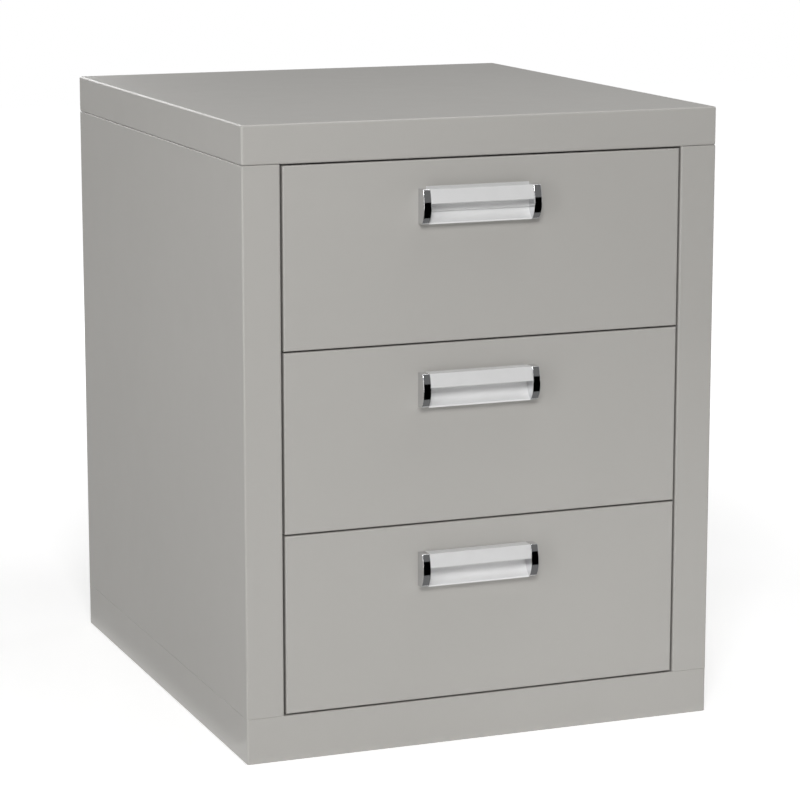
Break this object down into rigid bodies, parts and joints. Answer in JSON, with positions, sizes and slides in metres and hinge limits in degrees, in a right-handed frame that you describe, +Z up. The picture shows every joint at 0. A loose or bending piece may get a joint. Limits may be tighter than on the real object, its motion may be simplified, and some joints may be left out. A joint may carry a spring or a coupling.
{
  "type": "drawer unit",
  "caption": "Free-standing grey steel drawer unit with flush inset drawers on full-extension ball runners, each pulled by a scoop handle between bright end caps.",
  "frame": {"origin": "middle of the plan, handles included, on the surface the unit stands on", "axes": "+Z up, +X to the right seen from the front, drawers open towards -Y"},
  "size_m": [0.48, 0.56, 0.602],
  "materials": {
    "case_paint": "satin powder coat",
    "tray_paint": "satin powder coat",
    "runner_steel": "zinc plated",
    "cage_steel": "plain rolled steel",
    "grip_aluminium": "fine matt",
    "cap_chrome": "polished",
    "screw_steel": "zinc plated"
  },
  "bodies": {
    "cabinet": {"top_cover": "case_paint", "base_plinth": "case_paint", "side_left": "case_paint", "side_right": "case_paint", "back_panel": "case_paint", "floor_panel": "case_paint", "post_front_left": "case_paint", "post_front_right": "case_paint", "post_rear_left": "case_paint", "post_rear_right": "case_paint", "runner_fixed_left_1": "runner_steel", "runner_fixed_right_1": "runner_steel", "runner_fixed_left_2": "runner_steel", "runner_fixed_right_2": "runner_steel", "runner_fixed_left_3": "runner_steel", "runner_fixed_right_3": "runner_steel"},
    "drawer_1": {"front_1": "case_paint", "liner_1": "case_paint", "tray_1": "tray_paint", "tray_back_1": "tray_paint", "grip_1": "grip_aluminium", "cap_left_1": "cap_chrome", "cap_right_1": "cap_chrome", "handle_screws_1": "screw_steel", "runner_drawer_left_1": "runner_steel", "runner_drawer_right_1": "runner_steel"},
    "runners_middle_1": {"runner_middle_left_1": "runner_steel", "runner_middle_right_1": "runner_steel"},
    "cages_outer_1": {"cages_outer_1": "cage_steel"},
    "cages_inner_1": {"cages_inner_1": "cage_steel"},
    "drawer_2": {"front_2": "case_paint", "liner_2": "case_paint", "tray_2": "tray_paint", "tray_back_2": "tray_paint", "grip_2": "grip_aluminium", "cap_left_2": "cap_chrome", "cap_right_2": "cap_chrome", "handle_screws_2": "screw_steel", "runner_drawer_left_2": "runner_steel", "runner_drawer_right_2": "runner_steel"},
    "runners_middle_2": {"runner_middle_left_2": "runner_steel", "runner_middle_right_2": "runner_steel"},
    "cages_outer_2": {"cages_outer_2": "cage_steel"},
    "cages_inner_2": {"cages_inner_2": "cage_steel"},
    "drawer_3": {"front_3": "case_paint", "liner_3": "case_paint", "tray_3": "tray_paint", "tray_back_3": "tray_paint", "grip_3": "grip_aluminium", "cap_left_3": "cap_chrome", "cap_right_3": "cap_chrome", "handle_screws_3": "screw_steel", "runner_drawer_left_3": "runner_steel", "runner_drawer_right_3": "runner_steel"},
    "runners_middle_3": {"runner_middle_left_3": "runner_steel", "runner_middle_right_3": "runner_steel"},
    "cages_outer_3": {"cages_outer_3": "cage_steel"},
    "cages_inner_3": {"cages_inner_3": "cage_steel"}
  },
  "joints": [
    {"name": "drawer_slide_1", "type": "slide", "parent": "cabinet", "child": "drawer_1", "axis": [0, -1, 0], "range_m": [0, 0.45]},
    {"name": "middle_slide_1", "type": "slide", "parent": "cabinet", "child": "runners_middle_1", "axis": [0, -1, 0], "range_m": [0, 0.225]},
    {"name": "outer_cage_slide_1", "type": "slide", "parent": "cabinet", "child": "cages_outer_1", "axis": [0, -1, 0], "range_m": [0, 0.1125]},
    {"name": "inner_cage_slide_1", "type": "slide", "parent": "cabinet", "child": "cages_inner_1", "axis": [0, -1, 0], "range_m": [0, 0.3375]},
    {"name": "drawer_slide_2", "type": "slide", "parent": "cabinet", "child": "drawer_2", "axis": [0, -1, 0], "range_m": [0, 0.45]},
    {"name": "middle_slide_2", "type": "slide", "parent": "cabinet", "child": "runners_middle_2", "axis": [0, -1, 0], "range_m": [0, 0.225]},
    {"name": "outer_cage_slide_2", "type": "slide", "parent": "cabinet", "child": "cages_outer_2", "axis": [0, -1, 0], "range_m": [0, 0.1125]},
    {"name": "inner_cage_slide_2", "type": "slide", "parent": "cabinet", "child": "cages_inner_2", "axis": [0, -1, 0], "range_m": [0, 0.3375]},
    {"name": "drawer_slide_3", "type": "slide", "parent": "cabinet", "child": "drawer_3", "axis": [0, -1, 0], "range_m": [0, 0.45]},
    {"name": "middle_slide_3", "type": "slide", "parent": "cabinet", "child": "runners_middle_3", "axis": [0, -1, 0], "range_m": [0, 0.225]},
    {"name": "outer_cage_slide_3", "type": "slide", "parent": "cabinet", "child": "cages_outer_3", "axis": [0, -1, 0], "range_m": [0, 0.1125]},
    {"name": "inner_cage_slide_3", "type": "slide", "parent": "cabinet", "child": "cages_inner_3", "axis": [0, -1, 0], "range_m": [0, 0.3375]}
  ],
  "couplings": [
    {"joint": "middle_slide_1", "follows": "drawer_slide_1", "ratio": 0.5},
    {"joint": "outer_cage_slide_1", "follows": "drawer_slide_1", "ratio": 0.25},
    {"joint": "inner_cage_slide_1", "follows": "drawer_slide_1", "ratio": 0.75},
    {"joint": "middle_slide_2", "follows": "drawer_slide_2", "ratio": 0.5},
    {"joint": "outer_cage_slide_2", "follows": "drawer_slide_2", "ratio": 0.25},
    {"joint": "inner_cage_slide_2", "follows": "drawer_slide_2", "ratio": 0.75},
    {"joint": "middle_slide_3", "follows": "drawer_slide_3", "ratio": 0.5},
    {"joint": "outer_cage_slide_3", "follows": "drawer_slide_3", "ratio": 0.25},
    {"joint": "inner_cage_slide_3", "follows": "drawer_slide_3", "ratio": 0.75}
  ]
}
